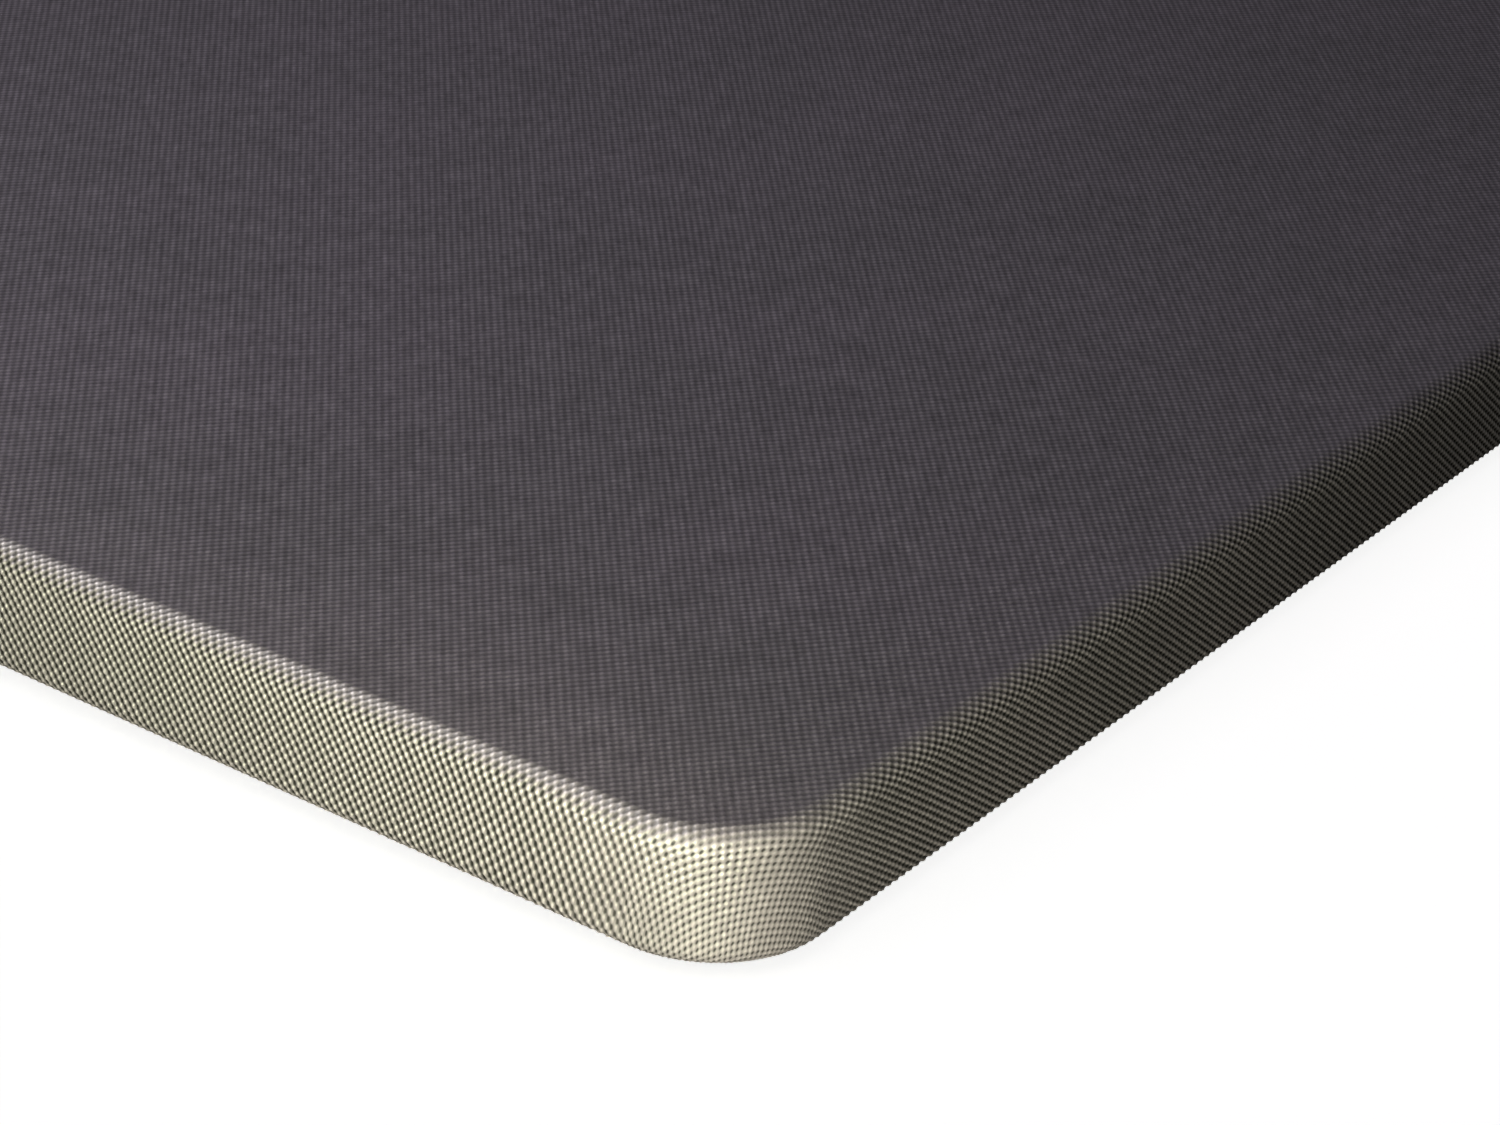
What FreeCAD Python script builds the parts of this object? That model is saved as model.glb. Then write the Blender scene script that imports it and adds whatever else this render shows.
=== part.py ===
import FreeCAD, Part
import Sketcher
import os

# Anti-fatigue standing mat: a flat rectangular mat with round corners, built like an
# upholstered slab.
#   wear_skin         woven-grain vinyl, over the top and walls and turned in under the mat
#   skin_backing      knitted textile bonded to the inside of the skin, following it everywhere
#   skin_bond_film    adhesive film between the textile and the foam, under the flat top
#   cushion_foam      soft upper foam
#   core_bond_film    adhesive film between the two foams
#   support_foam      dense lower foam, with a plug that fills the window inside the flange
#   flange_bond_tape  adhesive ring that holds the turned-in flange to the foam
#   base_bond_film    adhesive film above the base sheet
#   base_sheet        non-slip rubber sheet with a pattern of shallow diamond recesses
#
# Frame: millimetres, +Z up. The origin is the centre of the mat's footprint, on the floor.
# +X runs along the mat's length and +Y along its width.

# Alias, value, note.
DRIVING = [
    ("mat_length", 914.0, "overall length along X"),
    ("mat_width", 508.0, "overall width along Y"),
    ("mat_height", 19.0, "floor to standing surface"),
    ("corner_radius", 16.5, "plan radius of the four corners"),
    ("brow_radius", 3.0, "round between the top and the walls"),
    ("heel_radius", 2.2, "round between the walls and the turned-in flange"),
    ("skin_gauge", 0.8, "vinyl skin thickness"),
    ("backing_gauge", 0.4, "textile backing thickness"),
    ("film_gauge", 0.2, "adhesive film thickness"),
    ("base_gauge", 1.0, "rubber base sheet thickness"),
    ("base_setback", 6.0, "how far the base sheet stops short of the wall"),
    ("flange_width", 25.0, "wall to the inner edge of the turned-in flange"),
    ("tape_setback", 6.0, "wall to the outer edge of the flange tape"),
    ("foam_split", 10.0, "height of the underside of the cushion foam"),
    ("recess_depth", 0.4, "depth of the diamond recesses"),
    ("recess_diagonal", 25.0, "diagonal of a diamond recess"),
    ("recess_pitch", 36.0, "spacing of the diamond recesses"),
    ("recess_columns", 24.0, "diamond recesses along the length"),
    ("recess_rows", 13.0, "diamond recesses along the width"),
    ("overlap", 1.0, "how far a window cutter or the plug runs past a layer"),
]

# Alias, formula, note. A "low" or "seat" is an underside and a "ceil" is a top.
DERIVED = [
    ("skin_low", "base_gauge + film_gauge", "underside of the skin"),
    ("skin_seat", "skin_low + skin_gauge", "underside of the backing"),
    ("back_seat", "skin_seat + backing_gauge", "underside of the flange tape"),
    ("foam_seat", "back_seat + film_gauge", "underside of the support foam slab"),
    ("core_low", "foam_split - film_gauge", "underside of the film between the foams"),
    ("skin_ceil", "mat_height - skin_gauge", "top of the backing"),
    ("back_ceil", "skin_ceil - backing_gauge", "top of the skin bond film"),
    ("foam_ceil", "back_ceil - film_gauge", "top of the cushion foam"),
    ("foam_inset", "skin_gauge + backing_gauge", "wall to the foam"),
    ("backing_brow", "brow_radius - skin_gauge", "brow round of the backing"),
    ("backing_heel", "heel_radius - skin_gauge", "heel round of the backing"),
    ("foam_brow", "brow_radius - foam_inset", "brow round of the foam"),
    ("foam_heel", "heel_radius - foam_inset", "heel round of the foam"),
    ("window_corner", "corner_radius / 3", "plan radius of the flange window"),
    ("field_length", "recess_pitch * (recess_columns - 1)", "first to last recess along X"),
    ("field_width", "recess_pitch * (recess_rows - 1)", "first to last recess along Y"),
]

# Nested surfaces of the wrapping, from the outside in, as arguments of slab().
SKIN_FACE = dict(
    inset="0", low="dims.skin_low", high="dims.mat_height",
    brow="dims.brow_radius", heel="dims.heel_radius",
)
BACKING_FACE = dict(
    inset="dims.skin_gauge", low="dims.skin_seat", high="dims.skin_ceil",
    brow="dims.backing_brow", heel="dims.backing_heel",
)
INNER_FACE = dict(
    inset="dims.foam_inset", low="dims.back_seat", high="dims.back_ceil",
    brow="dims.foam_brow", heel="dims.foam_heel",
)

# Half sizes that the sketches are first drawn at, before their constraints set the real ones.
DRAFT_HALF_LENGTH, DRAFT_HALF_WIDTH = 300.0, 200.0
DRAFT_HALF_DIAGONAL = 12.5

FLATNESS = 1e-6  # distance within which points count as level or in line
VOLUME_TOLERANCE = 0.01  # share of the recess volume

doc = FreeCAD.newDocument("anti_fatigue_mat")


def make_sheet():
    sheet = doc.addObject("Spreadsheet::Sheet", "dims")
    rows = [(alias, f"{value:g}", note) for alias, value, note in DRIVING]
    rows += [(alias, "=" + formula, note) for alias, formula, note in DERIVED]
    for row, (alias, content, note) in enumerate(rows, start=1):
        sheet.set(f"A{row}", alias)
        sheet.set(f"B{row}", content)
        sheet.set(f"C{row}", note)
        sheet.setAlias(f"B{row}", alias)
    doc.recompute()
    return sheet


# ---------------------------------------------------------------- sketches
def origin_feature(body, role):
    for feature in body.Origin.OriginFeatures:
        if feature.Role == role:
            return feature
    raise RuntimeError("no origin feature " + role)


def floor_sketch(body, name, corners):
    """A closed outline through four (x, y) corners, on the body's XY plane."""
    sketch = body.newObject("Sketcher::SketchObject", name)
    sketch.AttachmentSupport = [(origin_feature(body, "XY_Plane"), "")]
    sketch.MapMode = "FlatFace"
    points = [FreeCAD.Vector(x, y, 0) for x, y in corners]
    for i in range(4):
        sketch.addGeometry(Part.LineSegment(points[i], points[(i + 1) % 4]), False)
    for i in range(4):
        constrain(sketch, "Coincident", i, 2, (i + 1) % 4, 1)
    return sketch


def constrain(sketch, *terms):
    return sketch.addConstraint(Sketcher.Constraint(*terms))


def drive(sketch, name, formula, *terms):
    """Add a named constraint whose value follows a formula."""
    sketch.renameConstraint(constrain(sketch, *terms), name)
    sketch.setExpression("Constraints." + name, formula)


def centred_rectangle(body, name, inset, low):
    """The mat's footprint drawn in by inset on every side, at height low."""
    x, y = DRAFT_HALF_LENGTH, DRAFT_HALF_WIDTH
    sketch = floor_sketch(body, name, [(-x, -y), (x, -y), (x, y), (-x, y)])
    sketch.setExpression("AttachmentOffset.Base.z", low)
    constrain(sketch, "Horizontal", 0)
    constrain(sketch, "Horizontal", 2)
    constrain(sketch, "Vertical", 1)
    constrain(sketch, "Vertical", 3)
    constrain(sketch, "Symmetric", 0, 1, 1, 2, -1, 1)
    drive(sketch, "span_x", f"dims.mat_length - 2 * ({inset})", "DistanceX", 0, 1, 0, 2, 2 * x)
    drive(sketch, "span_y", f"dims.mat_width - 2 * ({inset})", "DistanceY", 1, 1, 1, 2, 2 * y)
    return sketch


# ---------------------------------------------------------------- slabs
def upright_edges(shape):
    """Names of the straight vertical edges."""
    found = []
    for n, edge in enumerate(shape.Edges, start=1):
        if len(edge.Vertexes) == 2:
            start, end = (vertex.Point for vertex in edge.Vertexes)
            if abs(start.x - end.x) < FLATNESS and abs(start.y - end.y) < FLATNESS:
                found.append(f"Edge{n}")
    return found


def rim_edges(shape, height):
    """Names of every edge that lies in the horizontal plane at a height."""
    found = []
    for n, edge in enumerate(shape.Edges, start=1):
        middle = edge.valueAt(0.5 * (edge.FirstParameter + edge.LastParameter))
        points = [vertex.Point for vertex in edge.Vertexes] + [middle]
        if all(abs(point.z - height) < FLATNESS for point in points):
            found.append(f"Edge{n}")
    return found


def fillet(body, name, base, edges, radius):
    feature = body.newObject("PartDesign::Fillet", name)
    feature.Base = (base, edges)
    feature.setExpression("Radius", radius)
    doc.recompute()
    return feature


def slab(name, inset, low, high, brow=None, heel=None, corner=None):
    """A round-cornered slab of the footprint, inset from the walls, from low to high.

    brow and heel round its top and bottom rims. Unless corner is given, the corners stay
    concentric with the mat's own.
    """
    body = doc.addObject("PartDesign::Body", name)
    sketch = centred_rectangle(body, name + "_plan", inset, low)
    pad = body.newObject("PartDesign::Pad", name + "_pad")
    pad.Profile = sketch
    pad.setExpression("Length", f"({high}) - ({low})")
    doc.recompute()
    corner = corner or f"dims.corner_radius - ({inset})"
    last = fillet(body, name + "_corners", pad, upright_edges(pad.Shape), corner)
    top, bottom = last.Shape.BoundBox.ZMax, last.Shape.BoundBox.ZMin
    if brow:
        last = fillet(body, name + "_brow", last, rim_edges(last.Shape, top), brow)
    if heel:
        last = fillet(body, name + "_heel", last, rim_edges(last.Shape, bottom), heel)
    body.Tip = last
    doc.recompute()
    return body


def window_slab(name, low, high):
    """A slab the size of the window that the turned-in flange leaves open."""
    return slab(name, "dims.flange_width", low, high, corner="dims.window_corner")


def window_cutter(name, low, high):
    """A window slab that overruns the layer from low to high at both faces."""
    return window_slab(name, f"{low} - dims.overlap", f"{high} + dims.overlap")


def cut(name, base, tool):
    feature = doc.addObject("Part::Cut", name)
    feature.Base, feature.Tool = base, tool
    doc.recompute()
    return feature


def fuse(name, *shapes):
    feature = doc.addObject("Part::MultiFuse", name)
    feature.Shapes = list(shapes)
    feature.Refine = True
    doc.recompute()
    return feature


# ---------------------------------------------------------------- pieces
def make_wrapping(name, prefix, outer_face, inner_face):
    """A layer between two nested surfaces, open underneath inside the flange."""
    outer = slab(prefix + "_outer", **outer_face)
    cavity = slab(prefix + "_cavity", **inner_face)
    window = window_cutter(prefix + "_window", outer_face["low"], inner_face["low"])
    return cut(name, outer, fuse(prefix + "_void", cavity, window))


def make_skin_bond_film():
    # Only the flat part of the top is bonded, so the film stops where the brow begins.
    return slab("skin_bond_film", "dims.brow_radius", "dims.foam_ceil", "dims.back_ceil")


def make_cushion_foam():
    return slab(
        "cushion_foam", "dims.foam_inset", "dims.foam_split", "dims.foam_ceil",
        brow="dims.foam_brow",
    )


def make_core_bond_film():
    return slab("core_bond_film", "dims.foam_inset", "dims.core_low", "dims.foam_split")


def make_support_foam():
    foam = slab(
        "support_slab", "dims.foam_inset", "dims.foam_seat", "dims.core_low",
        heel="dims.foam_heel",
    )
    # The plug runs up into the slab so that the two join into one solid.
    plug = window_slab("support_plug", "dims.skin_low", "dims.foam_seat + dims.overlap")
    return fuse("support_foam", foam, plug)


def make_flange_bond_tape():
    low, high = "dims.back_seat", "dims.foam_seat"
    outer = slab("tape_outer", "dims.tape_setback", low, high)
    return cut("flange_bond_tape", outer, window_cutter("tape_window", low, high))


def make_base_bond_film():
    return slab("base_bond_film", "dims.base_setback", "dims.base_gauge", "dims.skin_low")


def recess_sketch(body):
    """The diamond at the -X, -Y corner of the recess field."""
    half = DRAFT_HALF_DIAGONAL
    plan = floor_sketch(body, "recess_plan", [(half, 0), (0, half), (-half, 0), (0, -half)])
    plan.setExpression("AttachmentOffset.Base.x", "-dims.field_length / 2")
    plan.setExpression("AttachmentOffset.Base.y", "-dims.field_width / 2")
    constrain(plan, "PointOnObject", 0, 1, -1)
    constrain(plan, "PointOnObject", 1, 1, -2)
    constrain(plan, "Symmetric", 0, 1, 2, 1, -1, 1)
    constrain(plan, "Symmetric", 1, 1, 3, 1, -1, 1)
    drive(plan, "across", "dims.recess_diagonal", "Distance", 2, 1, 0, 1, 2 * half)
    drive(plan, "upright", "dims.recess_diagonal", "Distance", 3, 1, 1, 1, 2 * half)
    doc.recompute()
    return plan


def row_pattern(body, name, axis, length, count):
    pattern = body.newObject("PartDesign::LinearPattern", name)
    pattern.Direction = (origin_feature(body, axis), [""])
    pattern.setExpression("Length", length)
    pattern.setExpression("Occurrences", count)
    return pattern


def require_removed(body, full_volume, count):
    """Stop unless count whole recesses have been taken from the body."""
    removed = full_volume - body.Shape.Volume
    expected = count * 0.5 * dims.recess_diagonal**2 * dims.recess_depth
    if abs(removed - expected) > VOLUME_TOLERANCE * expected:
        raise RuntimeError(
            f"{count} recesses removed {removed:.3f} mm3 and should remove {expected:.3f}"
        )


def make_base_sheet():
    body = slab("base_sheet", "dims.base_setback", "0", "dims.base_gauge")
    plan = recess_sketch(body)
    full_volume = body.Shape.Volume
    recess = body.newObject("PartDesign::Pocket", "recess")
    recess.Profile = plan
    recess.Type = 0
    recess.Reversed = True  # the pocket goes up into the sheet from its underside
    recess.setExpression("Length", "dims.recess_depth")
    doc.recompute()
    require_removed(body, full_volume, 1)

    along_x = row_pattern(
        body, "recess_row", "X_Axis", "dims.field_length", "dims.recess_columns"
    )
    along_y = row_pattern(
        body, "recess_column", "Y_Axis", "dims.field_width", "dims.recess_rows"
    )
    field = body.newObject("PartDesign::MultiTransform", "recess_field")
    field.Originals = [recess]
    field.Transformations = [along_x, along_y]
    body.Tip = field
    doc.recompute()
    require_removed(body, full_volume, dims.recess_columns * dims.recess_rows)
    return body


def export(pieces):
    """Write one STEP file per piece, named after its label."""
    doc.recompute()
    for item in doc.Objects:
        if "Invalid" in item.State or "Error" in item.State:
            raise RuntimeError(f"{item.Name} failed: {item.State}")
    for piece in pieces:
        if piece.Shape.isNull() or not piece.Shape.isValid() or not piece.Shape.Solids:
            raise RuntimeError(f"{piece.Label} has no valid solid")
    os.makedirs("parts", exist_ok=True)
    for piece in pieces:
        piece.Shape.exportStep(os.path.join("parts", piece.Label + ".step"))


dims = make_sheet()
export([
    make_wrapping("wear_skin", "skin", SKIN_FACE, BACKING_FACE),
    make_wrapping("skin_backing", "backing", BACKING_FACE, INNER_FACE),
    make_skin_bond_film(),
    make_cushion_foam(),
    make_core_bond_film(),
    make_support_foam(),
    make_flange_bond_tape(),
    make_base_bond_film(),
    make_base_sheet(),
])
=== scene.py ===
"""Looks of an anti-fatigue mat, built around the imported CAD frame.

The mat is centred on the origin with its length along X, its width along Y and its standing
surface up. -Y is its front and +X its right. A textile-backed vinyl cover, pressed with a weave,
wraps a cushion foam over a support foam and turns in underneath, leaving a window.
Mesh code is in millimetres, and MM turns them into Blender's metres. Materials, lights and the
camera are in metres.
"""

from math import copysign, cos, hypot, pi, radians, sin

import bpy
import numpy as np
from mathutils import Matrix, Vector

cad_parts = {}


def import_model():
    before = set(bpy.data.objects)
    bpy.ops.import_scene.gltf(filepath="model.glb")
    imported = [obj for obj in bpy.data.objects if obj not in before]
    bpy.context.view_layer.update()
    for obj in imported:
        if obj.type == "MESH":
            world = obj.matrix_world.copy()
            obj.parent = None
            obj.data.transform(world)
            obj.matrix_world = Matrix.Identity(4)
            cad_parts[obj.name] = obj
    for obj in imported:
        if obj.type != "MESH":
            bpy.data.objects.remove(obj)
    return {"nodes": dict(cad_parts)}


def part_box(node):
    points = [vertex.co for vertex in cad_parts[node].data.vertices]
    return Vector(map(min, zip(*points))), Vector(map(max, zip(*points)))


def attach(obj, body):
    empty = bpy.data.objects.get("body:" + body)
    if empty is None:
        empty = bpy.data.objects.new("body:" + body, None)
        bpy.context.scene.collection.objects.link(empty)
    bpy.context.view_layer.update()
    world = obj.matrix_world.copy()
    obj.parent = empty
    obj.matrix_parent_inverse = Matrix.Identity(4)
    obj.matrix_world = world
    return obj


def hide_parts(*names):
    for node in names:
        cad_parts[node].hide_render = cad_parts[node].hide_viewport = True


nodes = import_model()["nodes"]
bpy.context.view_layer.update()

MM = 0.001

# ---------------------------------------------------------------- sizes
skin_lo, skin_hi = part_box("wear_skin")
backing_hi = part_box("skin_backing")[1]
cushion_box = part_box("cushion_foam")
support_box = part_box("support_foam")

HALF_X, HALF_Y = skin_hi.x / MM, skin_hi.y / MM
Z_LOW, Z_TOP = skin_lo.z / MM, skin_hi.z / MM
SKIN = Z_TOP - backing_hi.z / MM  # gauge of the vinyl
BACKING = backing_hi.x / MM - cushion_box[1].x / MM  # gauge of the textile under it
CORNER = 16.5  # plan radius of the corners
BROW, HEEL = 3.0, 2.2  # rounds at the top rim and at the foot
FLANGE = 25.0  # width of the turned-in flange
WINDOW_R = 5.5  # corner radius of the window it leaves
FLANGE_R, FLANGE_MID_R = 4.0, 9.0  # radii about the corner arcs of two rings on the flange

ARC_CENTRE = ARC_X, ARC_Y = HALF_X - CORNER, HALF_Y - CORNER  # centres of the corner arcs
WINDOW_CENTRE = HALF_X - FLANGE - WINDOW_R, HALF_Y - FLANGE - WINDOW_R
FLAT_R = CORNER - BROW  # corner radius of the flat top's outline
ARC = CORNER * pi / 4  # half of a corner's arc on the wall

# Lengths down the profile from the rim of the flat top to the end of each part.
DROP_BROW = BROW * pi / 2
DROP_WALL = DROP_BROW + (Z_TOP - BROW) - (Z_LOW + HEEL)
DROP_HEEL = DROP_WALL + HEEL * pi / 2
DROP_END = DROP_HEEL + (CORNER - HEEL) - FLANGE_R

# The embossed weave: thread spacings, and how deep it is pressed on the top and on the walls.
THREAD_X, THREAD_Y = 0.66, 0.77
RELIEF_TOP, RELIEF_WALL = 0.09, 0.34

GROWTH = 1.15  # ratio of one mesh step to the one before where a mesh coarsens
QUARTERS = ((1, 1), (-1, 1), (-1, -1), (1, -1))  # signs that mirror the quarter x > 0, y < 0


def smooth(values, start, stop):
    """0 up to start, 1 from stop on, with an eased rise between."""
    share = np.clip((np.asarray(values, float) - start) / (stop - start), 0.0, 1.0)
    return share * share * (3 - 2 * share)


def pairs(first, second):
    """Every pair of the two lists, the second running fastest."""
    return [grid.ravel() for grid in np.meshgrid(first, second, indexing="ij")]


# ---------------------------------------------------------------- surface patches and meshes
class Patches:
    """Patches of one closed surface, welded where they meet.

    Each has points, normals, its place in the flat unfolded piece, and the extra fields.
    """

    EXTRA = {"sheet": 2, "grad_x": 3, "grad_y": 3, "drop": 1, "run": 1}  # and their widths

    def __init__(self):
        self.fields = {key: [] for key in ("points", "normals", "flat", *self.EXTRA)}
        self.quads, self.tris = [], []
        self.count = 0

    def add(self, points, normals, flat, quads=None, tris=None, under=False, turn=False, **extra):
        """under marks faces of the inner side. turn reverses their winding."""
        size = len(points)
        for key, values in (("points", points), ("normals", normals), ("flat", flat)):
            self.fields[key].append(np.asarray(values, float))
        for key, width in self.EXTRA.items():
            values = np.asarray(extra.get(key, np.zeros((size, width))), float)
            self.fields[key].append(values.reshape(size, width))
        for faces, group in ((quads, self.quads), (tris, self.tris)):
            if faces is not None and len(faces):
                faces = np.asarray(faces, np.int64)
                if turn:
                    faces = faces[:, ::-1]
                group.append((faces + self.count, under))
        self.count += size

    def weld(self):
        """Fields of the joined points, and pairs of (faces, under)."""
        data = {key: np.concatenate(parts) for key, parts in self.fields.items()}
        cell = np.round(data["points"] * 5000).astype(np.int64)
        cell -= cell.min(0)
        span = cell.max(0) + 1
        code = (cell[:, 0] * span[1] + cell[:, 1]) * span[2] + cell[:, 2]
        _, first, joined = np.unique(code, return_index=True, return_inverse=True)
        data = {key: values[first] for key, values in data.items()}
        tris = [(joined[group], under) for group, under in self.tris]
        faces = []
        for group, under in self.quads:
            quads = joined[group]
            closed = quads == np.roll(quads, -1, axis=1)
            bad = closed.any(1)
            if bad.any():  # a quad with a closed side becomes a triangle
                side = closed[bad].argmax(1)[:, None]
                corners = (side + np.arange(1, 4)) % 4
                tris.append((np.take_along_axis(quads[bad], corners, 1), under))
            faces.append((quads[~bad], under))
        for group, under in tris:
            good = (group != np.roll(group, -1, axis=1)).all(1)
            faces.append((group[good], under))
        return data, faces


def unfolded(flat):
    """UV places: the outer side of a piece is low in the square, its inner side above, smaller."""
    scale = 1.0 / 1030.0
    return flat * scale + [0.5, 0.312], flat * scale * 0.60 + [0.5, 0.812]


def link_new(name, data):
    """An object of its own in the scene."""
    obj = bpy.data.objects.new(name, data)
    bpy.context.scene.collection.objects.link(obj)
    return obj


def make_object(name, points, faces, flat, attributes, smooth_under):
    """A mesh object from welded millimetre points and faces, with its unfolded piece as UVs."""
    mesh = bpy.data.meshes.new(name)
    mesh.vertices.add(len(points))
    mesh.vertices.foreach_set("co", (points * MM).astype(np.float32).ravel())
    loops = np.concatenate([group.ravel() for group, _ in faces])
    sizes = np.concatenate([np.full(len(group), group.shape[1]) for group, _ in faces])
    under = np.concatenate([np.full(len(group), side) for group, side in faces])
    mesh.loops.add(len(loops))
    mesh.loops.foreach_set("vertex_index", loops.astype(np.int32))
    mesh.polygons.add(len(sizes))
    starts = np.concatenate([[0], np.cumsum(sizes)[:-1]])
    mesh.polygons.foreach_set("loop_start", starts.astype(np.int32))
    mesh.update(calc_edges=True)
    mesh.polygons.foreach_set("use_smooth", (~under | smooth_under).astype(bool))
    outer, inner = unfolded(flat)
    places = np.where(np.repeat(under, sizes)[:, None], inner[loops], outer[loops])
    layer = mesh.uv_layers.new(name="OFBake")
    layer.data.foreach_set("uv", places.astype(np.float32).ravel())
    for key, values in attributes.items():
        attribute = mesh.attributes.new(key, "FLOAT_VECTOR", "POINT")
        attribute.data.foreach_set("vector", values.astype(np.float32).ravel())
    mesh.validate()
    mesh.update()
    return link_new(name, mesh)


# ---------------------------------------------------------------- outline and profile of the skin
def outline(run):
    """Centre-line point and outward direction at running length run in the quarter x > 0, y < 0.

    run is 0 in the middle of the corner's arc, negative on the front and positive on the right.
    """
    run = np.asarray(run, float)
    angle = np.clip(pi / 4 + run / CORNER, 0.0, pi / 2)
    x = ARC_X + np.minimum(run + ARC, 0.0)
    y = -ARC_Y + np.maximum(run - ARC, 0.0)
    return np.stack([x, y], -1), np.stack([np.sin(angle), -np.cos(angle)], -1)


def profile(drop):
    """Radius from the centre line, height, and the normal's outward and upward parts."""
    drop = np.asarray(drop, float)
    brow = np.clip(drop / BROW, 0, pi / 2)
    heel = np.clip((drop - DROP_WALL) / HEEL, 0, pi / 2)
    ends = [drop <= end for end in (0, DROP_BROW, DROP_WALL, DROP_HEEL)]
    # top, brow, wall and heel, then the flange
    radius = np.select(
        ends,
        [FLAT_R + drop, FLAT_R + BROW * np.sin(brow), CORNER, CORNER - HEEL + HEEL * np.cos(heel)],
        CORNER - HEEL - (drop - DROP_HEEL),
    )
    height = np.select(
        ends,
        [
            Z_TOP,
            Z_TOP - BROW + BROW * np.cos(brow),
            Z_TOP - BROW - (drop - DROP_BROW),
            Z_LOW + HEEL - HEEL * np.sin(heel),
        ],
        Z_LOW,
    )
    normal_out = np.select(ends, [0.0, np.sin(brow), 1.0, np.cos(heel)], 0.0)
    normal_up = np.select(ends, [1.0, np.cos(brow), 0.0, -np.sin(heel)], -1.0)
    return radius, height, normal_out, normal_up


# How the sheet is drawn out down the wall: its share at the right of the arc, and the extra
# peak on the front wall with its place and its widths on either side.
RIGHT_STRETCH = 0.92
PEAK_STRETCH, PEAK_RUN, PEAK_FRONT, PEAK_RIGHT = 0.32, -21.0, 19.0, 14.0
# How it shears: share of the corner's extra width within the arc, how much is lost at once
# beside it, and the lengths over which that comes back along the front and the right.
ARC_PULL, SIDE_LOSS, LOSS_FRONT, LOSS_RIGHT = 0.7, 0.3, 260.0, 45.0


def stretch(run):
    """How much the sheet is drawn out: most where the long wall runs into the corner."""
    base = 1.0 + (RIGHT_STRETCH - 1.0) * smooth(run, -ARC, ARC)
    width = np.where(run < PEAK_RUN, PEAK_FRONT, PEAK_RIGHT)
    return base + PEAK_STRETCH * np.exp(-(((run - PEAK_RUN) / width) ** 2))


def sheet_place(run, drop):
    """Where a point of the brow or wall lies in the flat sheet.

    The sheet shears round the corner, since its extra width there can't vanish at once.
    """
    drawn = drop / stretch(run)
    natural = np.clip(run / ARC, -1, 1)
    fade = np.where(run < 0, LOSS_FRONT, LOSS_RIGHT)
    far = np.sign(run) * (1 - SIDE_LOSS * np.exp(-(np.abs(run) - ARC) / fade))
    pull = np.where(np.abs(run) < ARC, ARC_PULL * run / ARC, far)
    along = run - pi / 4 * (CORNER - FLAT_R) * natural + pi / 4 * drawn * pull
    radius = FLAT_R + drawn
    half = pi / 4 * radius
    angle = pi / 4 + np.clip(along, -half, half) / radius
    x = ARC_X + radius * np.sin(angle) + np.minimum(along + half, 0.0)
    y = -ARC_Y - radius * np.cos(angle) + np.maximum(along - half, 0.0)
    return x, y


def skin_fields(run, drop):
    """All fields of the outer skin in the quarter x > 0, y < 0."""
    centre, out = outline(run)
    radius, height, normal_out, normal_up = profile(drop)
    points = np.column_stack([centre + radius[:, None] * out, height])
    normals = np.column_stack([normal_out[:, None] * out, normal_up])
    on_top = (drop <= 0)[:, None]
    sheet = np.stack(sheet_place(run, np.maximum(drop, 0.0)), -1)

    # gradients of the sheet place over the surface, by central differences
    step = 0.01
    below = np.maximum(drop, step)

    def slopes(before, after):
        return [(high - low) / (2 * step) for low, high in zip(before, after)]

    by_run = slopes(sheet_place(run - step, below), sheet_place(run + step, below))
    by_drop = slopes(sheet_place(run, below - step), sheet_place(run, below + step))
    scale = np.where(np.abs(run) < ARC, radius / CORNER, 1.0)
    along = np.column_stack([-out[:, 1], out[:, 0], np.zeros(len(run))])
    down = np.column_stack([normal_up[:, None] * out, -normal_out])
    grad_x, grad_y = [
        np.where(on_top, axis, (turning / scale)[:, None] * along + falling[:, None] * down)
        for turning, falling, axis in zip(by_run, by_drop, np.eye(3))
    ]
    return dict(
        points=points,
        normals=normals,
        flat=centre + out * (FLAT_R + drop)[:, None],
        sheet=np.where(on_top, points[:, :2], sheet),
        grad_x=grad_x,
        grad_y=grad_y,
        drop=drop,
        run=run,
    )


def mirror(fields, sign_x, sign_y):
    """The same fields in another quarter."""
    flip = np.array([sign_x, sign_y, 1])
    turned = dict(fields)
    for key in ("points", "normals"):
        turned[key] = fields[key] * flip
    turned["flat"] = fields["flat"] * flip[:2]
    if "sheet" in fields:
        turned["sheet"] = fields["sheet"] * flip[:2]
        turned["grad_x"] = fields["grad_x"] * flip * sign_x
        turned["grad_y"] = fields["grad_y"] * flip * sign_y
    return turned


# ---------------------------------------------------------------- rows, columns and bands
def grid_quads(columns, rows):
    """Faces of a grid stored column by column, outward when columns run on and rows go down."""
    i, j = pairs(np.arange(columns - 1), np.arange(rows - 1))
    corner = i * rows + j
    return np.stack([corner, corner + 1, corner + rows + 1, corner + rows], 1)


def upward_quads(columns, rows):
    """Faces of a grid whose columns run along X and rows along Y, seen from above."""
    return grid_quads(columns, rows)[:, [0, 3, 2, 1]]


def zip_rows(first, second):
    """Triangles between two rows of points with their own spacing, stored one after the other."""
    i = j = 0
    offset = len(first)
    tris = []
    while i < len(first) - 1 or j < len(second) - 1:
        second_done = j == len(second) - 1
        if second_done or (i < len(first) - 1 and first[i + 1] <= second[j + 1]):
            tris.append((i, offset + j, i + 1))
            i += 1
        else:
            tris.append((i, offset + j, offset + j + 1))
            j += 1
    return np.array(tris)


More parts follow.
